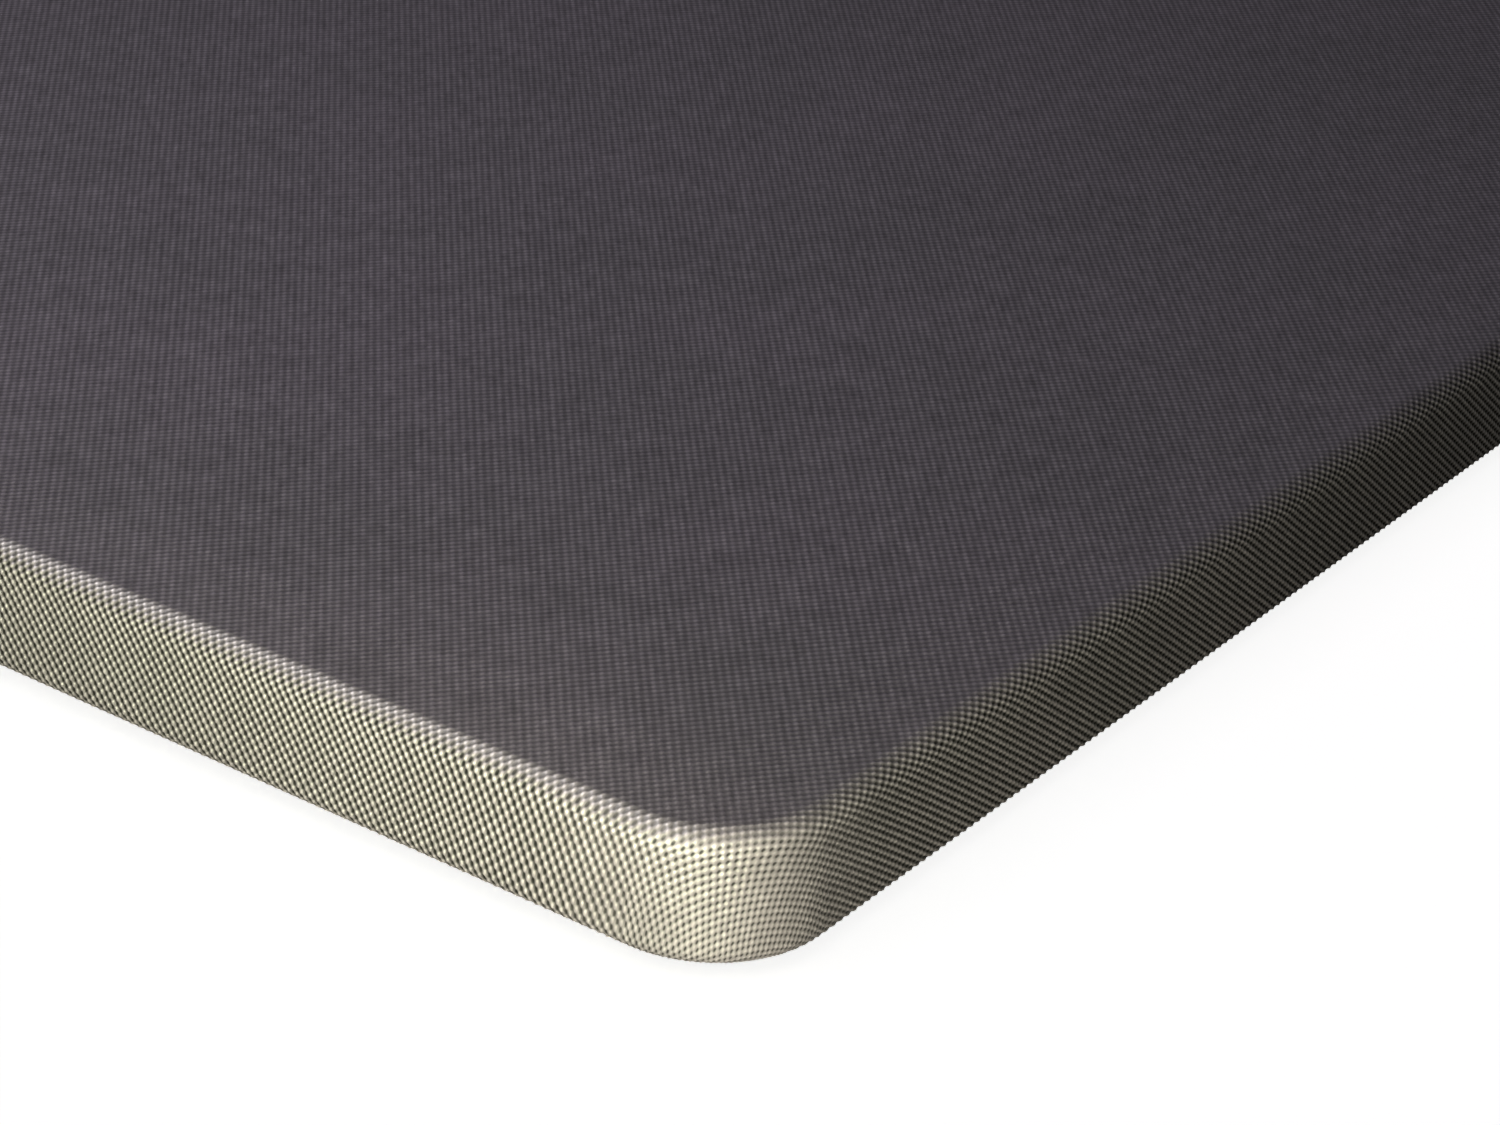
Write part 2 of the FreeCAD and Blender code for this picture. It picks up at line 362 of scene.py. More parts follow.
def graded(length, fine_length, fine, coarse):
    """Places from 0 to length with steps fine at first, then growing to coarse."""
    count = max(1, int(round(fine_length / fine))) if fine_length > 0 else 0
    places = [fine * k for k in range(count + 1)]
    step = fine
    while places[-1] < length:
        step = min(coarse, step * GROWTH)
        places.append(places[-1] + step)
    if len(places) > 2 and length - places[-2] < 0.5 * step:
        places.pop()
    places[-1] = length
    return np.array(places)


def make_columns(fine, coarse, arc_steps, front_fine=0.0, right_fine=0.0):
    """Running lengths of a quarter's columns, and the indices where its arc starts and ends."""
    front = ARC + graded(ARC_X, front_fine, fine, coarse)
    right = ARC + graded(ARC_Y, right_fine, fine, coarse)
    arc = np.linspace(-ARC, ARC, arc_steps + 1)
    start = len(front) - 1
    return np.concatenate([-front[::-1][:-1], arc, right[1:]]), start, start + arc_steps


def same_columns(**steps):
    """The same columns in all four quarters."""
    return dict.fromkeys(QUARTERS, make_columns(**steps))


def band(patches, columns, rows, fields, under=False):
    """A band of rows all the way round. fields gives the points at running lengths and rows."""
    for quarter in QUARTERS:
        runs = columns[quarter][0]
        part = mirror(fields(*pairs(runs, rows)), *quarter)
        quads = grid_quads(len(runs), len(rows))
        patches.add(quads=quads, under=under, turn=quarter[0] * quarter[1] < 0, **part)


UP, DOWN, OUT, IN = (0, 1), (0, -1), (1, 0), (-1, 0)  # outward and upward parts of a normal


def ring(radius, height, facing, unfold, centre=ARC_CENTRE):
    """A closed row round the mat. unfold is its radius in the unfolded piece."""
    return (*centre, radius, height, *facing, unfold)


def ring_fields(rings):
    """Fields whose rows are the indices of the rings."""
    table = np.asarray(rings, float)

    def fields(run, row):
        station = table[row.astype(int)]
        centre, out = outline(run)
        moved = centre * (station[:, :2] / ARC_CENTRE)
        return dict(
            points=np.column_stack([moved + station[:, 2:3] * out, station[:, 3]]),
            normals=np.column_stack([station[:, 4:5] * out, station[:, 5]]),
            flat=centre + out * station[:, 6:7],
        )

    return fields


def ring_band(patches, columns, rings, under=False):
    band(patches, columns, np.arange(len(rings)), ring_fields(rings), under)


def row_part(columns, fields, row, quarter):
    """Running lengths and fields of a single row in one quarter."""
    runs = columns[quarter][0]
    return runs, mirror(fields(runs, np.full(len(runs), float(row))), *quarter)


def link_rows(patches, upper, lower):
    """Triangles between two rows, each given as (columns, fields, row)."""
    for quarter in QUARTERS:
        upper_runs, upper_part = row_part(*upper, quarter)
        lower_runs, lower_part = row_part(*lower, quarter)
        both = {key: np.concatenate([upper_part[key], lower_part[key]]) for key in lower_part}
        tris = zip_rows(upper_runs, lower_runs)
        patches.add(tris=tris, turn=quarter[0] * quarter[1] < 0, **both)


def roof(patches, columns, rings):
    """Closes the inside with a fan from the last ring to a point in the middle."""
    for quarter in QUARTERS:
        runs, part = row_part(columns, ring_fields(rings), len(rings) - 1, quarter)
        size = len(runs)
        j = np.arange(size - 1)
        patches.add(
            points=np.concatenate([part["points"], [[0.0, 0.0, rings[-1][3]]]]),
            normals=np.concatenate([part["normals"], [[0.0, 0.0, part["normals"][0, 2]]]]),
            flat=np.concatenate([part["flat"], [[0.0, 0.0]]]),
            tris=np.stack([j, np.full(size - 1, size), j + 1], 1),
            under=True,
            turn=quarter[0] * quarter[1] < 0,
        )


def bend(centre_r, centre_z, radius, start, stop, steps, unfold, inward=False):
    """Rings round a bend of the profile between two angles (0 is outward, 90 is up)."""
    rings = []
    side = -1 if inward else 1
    for k in range(steps + 1):
        angle = radians(start + (stop - start) * k / steps)
        length = radius * abs(angle - radians(start))
        facing = side * cos(angle), side * sin(angle)
        height = centre_z + radius * sin(angle)
        rings.append(ring(centre_r + radius * cos(angle), height, facing, unfold + side * length))
    return rings


def inner_rings(inset, flange_unfold, heel_unfold):
    """Rings up the inner face of a wrapped layer, inset from the skin's outer face."""
    rings = [
        ring(radius, Z_LOW + inset, UP, flange_unfold - radius)
        for radius in (FLANGE_R, FLANGE_MID_R)
    ]
    rings += bend(
        CORNER - HEEL, Z_LOW + HEEL, HEEL - inset, -90, 0, steps=4, unfold=heel_unfold, inward=True
    )
    base = rings[-1][6]
    for z in np.linspace(Z_LOW + HEEL, Z_TOP - BROW, 4)[1:]:
        rings.append(ring(CORNER - inset, z, IN, base - (z - Z_LOW - HEEL)))
    unfold = rings[-1][6]
    brow = bend(FLAT_R, Z_TOP - BROW, BROW - inset, 0, 90, steps=4, unfold=unfold, inward=True)
    return rings + brow[1:]


# ---------------------------------------------------------------- flat round-cornered plates
def plate_fields(x, y, z, up):
    size = len(x)
    points = np.stack([x, y, np.full(size, z)], -1)
    return dict(
        points=points,
        normals=np.tile([0.0, 0.0, 1.0 if up else -1.0], (size, 1)),
        flat=points[:, :2],
        sheet=points[:, :2],
        grad_x=np.tile([1.0, 0.0, 0.0], (size, 1)),
        grad_y=np.tile([0.0, 1.0, 0.0], (size, 1)),
    )


def corner_fan(count, radii, tight):
    """Offsets from the arc's centre, quads and triangles of a fan of count columns.

    The columns are halved each time they come closer than tight.
    """
    xs, ys, quads, tris = [], [], [], []
    total = 0
    for k, radius in enumerate(radii):
        last_count = count
        if k and count % 2 == 0 and radius * pi / 2 / count < tight and count > 2:
            count //= 2
        angle = np.linspace(0, pi / 2, count + 1)
        xs.append(radius * np.sin(angle))
        ys.append(-radius * np.cos(angle))
        j = np.arange(count)
        inner = total + j
        if k and last_count == count:
            outer = total - (last_count + 1) + j
            quads.append(np.stack([inner, outer, outer + 1, inner + 1], 1))
        elif k:
            outer = total - (last_count + 1) + 2 * j
            tris.append(np.stack([inner, outer, outer + 1], 1))
            tris.append(np.stack([inner, outer + 1, inner + 1], 1))
            tris.append(np.stack([inner + 1, outer + 1, outer + 2], 1))
        total += count + 1
    tris.append(np.stack([np.full(count, total), inner, inner + 1], 1))
    x, y = np.concatenate([*xs, [0.0]]), np.concatenate([*ys, [0.0]])
    return x, y, np.concatenate(quads) if quads else None, np.concatenate(tris)


def plate(patches, columns, radii, xs, ys, z, tight, centre=ARC_CENTRE, up=True):
    """A plate at height z, an inner side when it faces down.

    radii are those of its rows from the outline inward. xs and ys are the lines of the field.
    """
    centre_x, centre_y = centre
    smallest = radii[-1]

    def add(x, y, turn, **faces):
        patches.add(under=not up, turn=turn, **faces, **plate_fields(x, y, z, up))

    for quarter in QUARTERS:
        sign_x, sign_y = quarter
        runs, arc_start, arc_stop = columns[quarter]
        turn = (sign_x * sign_y < 0) != (not up)
        # strips beside the straight sides
        for part in (runs[: arc_start + 1], runs[arc_stop:]):
            run, radius = pairs(part, radii[::-1])
            middle, out = outline(run)
            middle = middle * [centre_x / ARC_X, centre_y / ARC_Y]
            x, y = ((middle + radius[:, None] * out) * quarter).T
            add(x, y, turn, quads=grid_quads(len(part), len(radii)))
        x, y, quads, tris = corner_fan(arc_stop - arc_start, radii, tight)
        add((x + centre_x) * sign_x, (y - centre_y) * sign_y, turn, quads=quads, tris=tris)

    add(*pairs(xs, ys), not up, quads=upward_quads(len(xs), len(ys)))

    # stitches between the strips and the field
    def front_row(*quarter):
        runs, arc_start, _ = columns[quarter]
        return (centre_x + (runs[: arc_start + 1] + ARC) * centre_x / ARC_X) * quarter[0]

    def right_row(*quarter):
        runs, _, arc_stop = columns[quarter]
        return (-centre_y + (runs[arc_stop:] - ARC) * centre_y / ARC_Y) * quarter[1]

    def stitch(line, halves, side):
        """Places along a side, the field's first, then the strips', and how far out they are."""
        row = np.unique(np.round(np.concatenate(halves), 7))[::side]
        line = line[::side]
        away = np.repeat([0.0, smallest], [len(line), len(row)])
        return np.concatenate([line, row]), away, zip_rows(line * side, row * side)

    for side in (1, -1):  # front and right, then back and left
        x, away, tris = stitch(xs, (front_row(-1, side), front_row(1, side)), side)
        add(x, -side * (centre_y + away), not up, tris=tris)
        y, away, tris = stitch(ys, (right_row(side, 1), right_row(side, -1)), side)
        add(side * (centre_x + away), y, not up, tris=tris)


# ---------------------------------------------------------------- the weave and its unevenness
def weave_height(sheet_x, sheet_y, slant):
    """Height from 0 (pit) to 1 (crown) of staggered knuckles, joined diagonally by a slant."""
    angle_x, angle_y = pi * (sheet_x - ARC_X) / THREAD_X, pi * (sheet_y + ARC_Y) / THREAD_Y
    cos_x = np.cos(angle_x)
    crest = cos_x * np.abs(cos_x) * np.cos(angle_y)
    return 0.5 + 0.5 * (crest - slant * np.sin(angle_x) * np.sin(angle_y))


def float_slant(run, drop):
    """The floats slant one way before each corner and the other way after it."""
    away = np.abs(run)
    rise = smooth(away, start=5.0, stop=20.0) * smooth(drop, start=2.0, stop=6.0)
    return -0.22 * np.sign(run) * rise * (1 - 0.8 * smooth(away, start=150.0, stop=260.0))


def corner_keep(run, drop, width=15.0, loss=0.30):
    """Share of the emboss that is left where the corner has drawn the vinyl out."""
    corner = np.exp(-((run / width) ** 2))
    return 1 - loss * corner * smooth(drop, start=0.0, stop=3.0)


def pit_shade_strength(run, drop, on_top=0.57, on_wall=0.43):
    """Strength of the painted shade in the pits: on_top on the standing surface, on_wall more on
    the walls.
    """
    return (on_top + on_wall * smooth(drop, start=-0.5, stop=3.6)) * corner_keep(run, drop)


def relief_depth(drop):
    """Depth of the emboss, flatter on the standing surface and gone under the flange."""
    depth = RELIEF_TOP + (RELIEF_WALL - RELIEF_TOP) * smooth(drop, start=-1.0, stop=3.5)
    return depth * (1 - smooth(drop, start=DROP_HEEL - 0.5, stop=DROP_HEEL + 2.5))


def waviness(x, y):
    """Slow unevenness of the skin from 0 to 1: sums of warped waves, with lengths in mm."""
    wave = np.sin(x / 41.0 + 0.9 * np.sin(y / 53.0))
    wave = wave + np.sin(y / 37.0 + 1.1 * np.sin(x / 61.0) + 1.3)
    wave = wave + 0.6 * np.sin(x / 17.3 + y / 23.9 + 0.4) * np.sin(y / 15.1 - x / 29.7)
    return 0.5 + 0.5 * wave / 2.6


def cell_bumps(points, size, seed):
    """Fine unevenness of a soft layer from 0 to 1, with bumps of about the given size."""
    x, y, z = (points / size).T
    wave = np.sin(1.7 * x + 1.1 * np.sin(2.3 * y + seed) + 0.6 * z)
    wave = wave + np.sin(2.1 * y - 0.9 * np.sin(1.9 * x - seed) + 1.3 * z)
    cross = np.sin(3.7 * x + 2.9 * y + seed) * np.sin(3.1 * y - 2.7 * x + 2.2 * z)
    return np.clip(0.5 + 0.5 * (wave + 0.7 * cross) / 2.7, 0, 1)


# The front right corner carries the weave as real relief. Beyond it the same weave is bump.
# Lines round that region, each through two points (x, y), and a point inside it.
NEAR_LINES = (
    ((345.0, -256.0), (208.8, -119.0)),
    ((390.8, 53.5), (461.4, -83.7)),
    ((208.8, -119.0), (390.8, 53.5)),
)
NEAR_INSIDE = (400.0, -180.0)
NEAR_FADE = 9.0  # width over which the relief dies out beyond a line


def near_share(x, y):
    """1 in the near region, falling to 0 outside it."""
    share = np.ones(np.shape(x))
    for (x0, y0), (x1, y1) in NEAR_LINES:
        normal_x, normal_y = y1 - y0, x0 - x1
        length = hypot(normal_x, normal_y)
        normal_x, normal_y = normal_x / length, normal_y / length
        if (NEAR_INSIDE[0] - x0) * normal_x + (NEAR_INSIDE[1] - y0) * normal_y < 0:
            normal_x, normal_y = -normal_x, -normal_y
        distance = (x - x0) * normal_x + (y - y0) * normal_y
        share = share * smooth(distance, -NEAR_FADE, 0.0)
    return share


# ---------------------------------------------------------------- the vinyl cover
WAVE_DEPTH = 0.16  # depth of the skin's slow unevenness


def growing_lines(start, stop, fine_reach, fine):
    """Places from start to stop: fine steps up to fine_reach, then growing to 5 mm."""
    sign = copysign(1.0, stop - start)
    near = start + sign * np.arange(0, fine_reach, fine)
    far = []
    step, place = fine, near[-1]
    while sign * place < sign * stop:
        step = min(5.0, step * GROWTH)
        place += sign * step
        far.append(place)
    far[-1] = stop
    return np.concatenate([near, far])


def cover_patches():
    patches = Patches()
    columns = same_columns(fine=1.0, coarse=5.0, arc_steps=24)
    columns[(1, 1)] = make_columns(
        fine=0.19, coarse=5.0, arc_steps=144, front_fine=112.0, right_fine=186.0
    )
    drops = np.concatenate([
        np.linspace(0, DROP_BROW, 30),
        np.linspace(DROP_BROW, DROP_WALL, 70)[1:],
        np.linspace(DROP_WALL, DROP_HEEL, 20)[1:],
        DROP_HEEL + np.linspace(0, 2.6, 9)[1:],
        DROP_HEEL + np.array([4.5, 7.2, CORNER - HEEL - FLANGE_R]),
    ])
    band(patches, columns, drops, skin_fields)
    # standing surface, with two field lines to a thread near the front right corner
    xs = growing_lines(ARC_X, -ARC_X, fine_reach=241.0, fine=THREAD_X / 2)[::-1]
    ys = growing_lines(-ARC_Y, ARC_Y, fine_reach=301.0, fine=THREAD_Y / 2)
    plate(patches, columns, np.linspace(FLAT_R, 0.25, 54), xs, ys, Z_TOP, tight=0.10)
    # the flange reaches the window, and the inside of the skin comes back up
    unfold = FLAT_R + DROP_END
    window_unfold = unfold + 12.5
    rings = [
        ring(WINDOW_R, Z_LOW, DOWN, window_unfold, WINDOW_CENTRE),
        ring(WINDOW_R, Z_LOW + SKIN, UP, window_unfold, WINDOW_CENTRE),
    ]
    rings += inner_rings(SKIN, flange_unfold=unfold + FLANGE_R, heel_unfold=unfold - 10.0)
    coarse = same_columns(fine=1.2, coarse=5.0, arc_steps=16)
    ring_band(patches, coarse, rings, under=True)
    # the seam carries no weave, so only the plain fields of the skin are kept
    def skin_edge(run, drop):
        fields = skin_fields(run, drop)
        return {key: fields[key] for key in ("points", "normals", "flat")}

    link_rows(patches, (columns, skin_edge, drops[-1]), (coarse, ring_fields(rings), 0))
    roof(patches, coarse, rings)
    return patches


def build_cover():
    """The skin, sunk along its normals by the weave and the slow unevenness."""
    data, faces = cover_patches().weld()
    points, normals = data["points"], data["normals"]
    drop, run = data["drop"][:, 0], data["run"][:, 0]
    sheet_x, sheet_y = data["sheet"].T
    near = near_share(points[:, 0], points[:, 1])
    outside = (np.abs(data["grad_x"]).sum(1) > 0) & (drop < DROP_END + 1)
    side = np.where(np.sign(points[:, 0]) * np.sign(points[:, 1]) > 0, -1.0, 1.0)
    slant = float_slant(run, drop) * side * outside
    depth = relief_depth(drop) * outside * corner_keep(run, drop)
    sink = depth * near * (1 - weave_height(sheet_x, sheet_y, slant)) + depth * (1 - near) * 0.5
    wave = waviness(points[:, 0] + 0.7 * drop, points[:, 1] - 0.9 * drop)
    sink += outside * WAVE_DEPTH * wave * (1 - smooth(drop, DROP_WALL, DROP_HEEL))
    thread_x, thread_y = (sheet_x - ARC_X) / THREAD_X, (sheet_y + ARC_Y) / THREAD_Y
    attributes = {
        "sheet": np.stack([thread_x, thread_y, depth * (1 - near)], -1),
        "grad_p": data["grad_x"] / THREAD_X,
        "grad_q": data["grad_y"] / THREAD_Y,
        # its third part is the strength of the painted shade in the pits
        "marks": np.stack([drop, slant, pit_shade_strength(run, drop)], -1),
    }
    points = points - normals * sink[:, None]
    return make_object(
        "cover_skin", points, faces, data["flat"], attributes, smooth_under=False
    )


# ---------------------------------------------------------------- textile and foams
def slab_lines(step, centre=ARC_CENTRE):
    """Lines of a plate's field in X and in Y."""
    return [np.linspace(-half, half, int(2 * half / step) + 1) for half in centre]


def uneven_object(name, patches, size, depth, seed):
    """The welded object with its faces sunk by cell bumps."""
    data, faces = patches.weld()
    points, normals = data["points"], data["normals"]
    points = points - normals * (depth * cell_bumps(points, size, seed))[:, None]
    return make_object(name, points, faces, data["flat"], {}, smooth_under=True)


def build_backing():
    """The knitted textile: a thin closed layer that follows the inside of the skin."""
    patches = Patches()
    gap = 0.03
    outer, inner = SKIN + gap, SKIN + BACKING - gap  # insets of its faces from the skin's outside
    columns = same_columns(fine=1.2, coarse=4.0, arc_steps=20)
    down = [ring(FLAT_R, Z_TOP - outer, UP, FLAT_R)]
    down += bend(FLAT_R, Z_TOP - BROW, BROW - outer, 90, 0, steps=5, unfold=FLAT_R)[1:]
    base = down[-1][6]
    for z in np.linspace(Z_TOP - BROW, Z_LOW + HEEL, 5)[1:]:
        down.append(ring(CORNER - outer, z, OUT, base + (Z_TOP - BROW - z)))
    heel_unfold = down[-1][6]
    down += bend(
        CORNER - HEEL, Z_LOW + HEEL, HEEL - outer, 0, -90, steps=4, unfold=heel_unfold
    )[1:]
    base = down[-1][6]
    flange_unfold = base + CORNER - HEEL
    for radius in (FLANGE_MID_R, FLANGE_R):
        down.append(ring(radius, Z_LOW + outer, DOWN, flange_unfold - radius))
    window_r, window_unfold = WINDOW_R + 0.05, base + 22.8
    down.append(ring(window_r, Z_LOW + outer, DOWN, window_unfold, WINDOW_CENTRE))
    up = [down[-1], ring(window_r, Z_LOW + inner, UP, window_unfold, WINDOW_CENTRE)]
    up += inner_rings(inner, flange_unfold=flange_unfold, heel_unfold=base)
    ring_band(patches, columns, down)
    ring_band(patches, columns, up, under=True)
    xs, ys = slab_lines(4.0)
    radii = np.linspace(FLAT_R, 0.8, 6)
    plate(patches, columns, radii, xs, ys, Z_TOP - outer, tight=0.5)
    plate(patches, columns, radii, xs, ys, Z_TOP - inner, tight=0.5, up=False)
    return uneven_object("textile_backing", patches, size=7.0, depth=0.05, seed=0.6)


def build_foam(name, box, top_round, heel_round, plug, **bumps):
    """A foam slab drawn in a little from its CAD solid. plug adds a step that fills the window."""
    patches = Patches()
    gap = 0.06
    columns = same_columns(fine=1.4, coarse=3.6, arc_steps=20)
    lo, hi = box
    reach = CORNER - (HALF_X - hi.x / MM) - gap  # corner radius of the wall
    bottom, top = lo.z / MM + gap, hi.z / MM - gap
    low = Z_LOW + SKIN + BACKING + gap if plug else bottom  # underside beside the plug

    top_r, shoulder = reach - top_round, top - top_round
    rings = [ring(top_r, top, UP, FLAT_R)]
    if top_round:
        rings += bend(top_r, shoulder, top_round, 90, 0, steps=5, unfold=FLAT_R)[1:]
    else:
        rings.append(ring(reach, top, OUT, FLAT_R))
    base = rings[-1][6]
    for z in np.linspace(shoulder, low + heel_round, 5)[1:]:
        rings.append(ring(reach, z, OUT, base + (shoulder - z)))
    foot_r = reach - heel_round
    if heel_round:
        unfold = rings[-1][6]
        rings += bend(foot_r, low + heel_round, heel_round, 0, -90, steps=4, unfold=unfold)[1:]
    ring_band(patches, columns, rings)
    xs, ys = slab_lines(4.0)
    plate(patches, columns, np.linspace(top_r, 1.0, 5), xs, ys, top, tight=0.5)

    if plug:
        plug_r = WINDOW_R - gap
        middle = low - 0.5 * (low - bottom)
        under = [
            ring(foot_r, low, DOWN, reach),
            ring(8.0, low, DOWN, 8.0),
            ring(plug_r, low, DOWN, 0.0, WINDOW_CENTRE),
            ring(plug_r, middle, OUT, -1.0, WINDOW_CENTRE),
            ring(plug_r, bottom, OUT, -2.0, WINDOW_CENTRE),
        ]
        ring_band(patches, columns, under, under=True)
        xs, ys = slab_lines(4.5, WINDOW_CENTRE)
        radii, centre = np.linspace(plug_r, 1.2, 3), WINDOW_CENTRE
    else:
        radii, centre = np.linspace(foot_r, 1.0, 5), ARC_CENTRE
    plate(patches, columns, radii, xs, ys, bottom, tight=0.5, centre=centre, up=False)
    return uneven_object(name, patches, **bumps)


cover = build_cover()
backing = build_backing()
cushion = build_foam(
    "cushion_foam_pad", cushion_box, top_round=BROW - SKIN - BACKING, heel_round=0.0,
    plug=False, size=2.6, depth=0.22, seed=0.3,
)
support = build_foam(
    "support_foam_pad", support_box, top_round=0.0, heel_round=HEEL - SKIN - BACKING,
    plug=True, size=1.9, depth=0.14, seed=1.9,
)


# ---------------------------------------------------------------- materials
class Shader:
    """A node material under construction."""

    def __init__(self, name):
        self.material = bpy.data.materials.new(name)
        self.material.use_nodes = True
        self.tree = self.material.node_tree
        self.tree.nodes.clear()
        output = self.node("ShaderNodeOutputMaterial")
        self.bsdf = self.node("ShaderNodeBsdfPrincipled")
        self.put(output.inputs[0], self.bsdf.outputs[0])

    def node(self, kind, **settings):
        node = self.tree.nodes.new(kind)
        for key, value in settings.items():
            setattr(node, key, value)
        return node

    def put(self, socket, value):
        if isinstance(value, bpy.types.NodeSocket):
            self.tree.links.new(value, socket)
        else:
            socket.default_value = value

    def fill(self, node, *values):
        """The node's first inputs take the values."""
        for k, value in enumerate(values):
            self.put(node.inputs[k], value)
        return node.outputs

    def math(self, operation, *values):
        return self.fill(self.node("ShaderNodeMath", operation=operation), *values)[0]

    def mul(self, first, second):
        return self.math("MULTIPLY", first, second)

    def sub(self, first, second):
        return self.math("SUBTRACT", first, second)

    def line(self, value, gain, base):
        """value * gain + base"""
        return self.math("MULTIPLY_ADD", value, gain, base)

    def vec(self, operation, *values):
        return self.fill(self.node("ShaderNodeVectorMath", operation=operation), *values)[0]

    def scaled(self, vector, scale):
        node = self.node("ShaderNodeVectorMath", operation="SCALE")
        self.put(node.inputs["Scale"], scale)
        return self.fill(node, vector)[0]

    def mix(self, share, first, second):
        node = self.node("ShaderNodeMix", data_type="RGBA")
        for k, value in ((0, share), (6, first), (7, second)):
            self.put(node.inputs[k], value)
        return node.outputs[2]

    def ramp(self, value, over, to=(0.0, 1.0)):
        """Eased change from to[0] to to[1] while value crosses the span over."""
        node = self.node("ShaderNodeMapRange", interpolation_type="SMOOTHSTEP")
        return self.fill(node, value, *over, *to)[0]

    def attribute(self, name):
        return self.node("ShaderNodeAttribute", attribute_name=name).outputs["Vector"]

    def split(self, vector):
        return tuple(self.fill(self.node("ShaderNodeSeparateXYZ"), vector))

    def combine(self, *values):
        return self.fill(self.node("ShaderNodeCombineXYZ"), *values)[0]

    def place(self):
        return self.node("ShaderNodeTexCoord").outputs["Object"]

    def texture(self, node, vector, **settings):
        self.put(node.inputs["Vector"], vector)
        for key, value in settings.items():
            node.inputs[key].default_value = value
        return node.outputs[0]

    def noise(self, vector, scale, detail=2.0, rough=0.5):
        node = self.node("ShaderNodeTexNoise")
        return self.texture(node, vector, Scale=scale, Detail=detail, Roughness=rough)

    def cells(self, vector, scale, feature="F1"):
        node = self.node("ShaderNodeTexVoronoi", feature=feature)
        return self.texture(node, vector, Scale=scale)

    def bump(self, height, distance, normal=None):
        node = self.node("ShaderNodeBump")
        self.put(node.inputs["Height"], height)
        node.inputs["Distance"].default_value = distance
        if normal is not None:
            self.put(node.inputs["Normal"], normal)
        return node.outputs[0]

    def set(self, **values):
        for key, value in values.items():
            self.put(self.bsdf.inputs[key.replace("_", " ")], value)


def rgb(red, green, blue):
    return (red, green, blue, 1.0)


def weave_nodes(mat, thread_x, thread_y, slant):
    """Height of the weave as in weave_height, its slopes by thread, and the knuckles' tops."""
    angles = mat.mul(thread_x, pi), mat.mul(thread_y, pi)
    cos_x, cos_y = [mat.math("COSINE", angle) for angle in angles]
    sin_x, sin_y = [mat.math("SINE", angle) for angle in angles]
    wide = mat.math("ABSOLUTE", cos_x)
    crest = mat.mul(mat.mul(cos_x, wide), cos_y)
    crest = mat.sub(crest, mat.mul(slant, mat.mul(sin_x, sin_y)))
    height = mat.line(crest, gain=0.5, base=0.5)
    slope_x = mat.mul(mat.mul(mat.mul(sin_x, wide), cos_y), -pi)
    slanted = mat.mul(slant, mat.mul(cos_x, sin_y))
    slope_x = mat.line(slanted, gain=-pi / 2, base=slope_x)
    slope_y = mat.mul(mat.mul(mat.mul(cos_x, wide), sin_y), -pi / 2)
    slanted = mat.mul(slant, mat.mul(sin_x, cos_y))
    slope_y = mat.line(slanted, gain=-pi / 2, base=slope_y)
    return height, slope_x, slope_y, mat.math("MAXIMUM", mat.mul(cos_x, cos_y), 0.0)


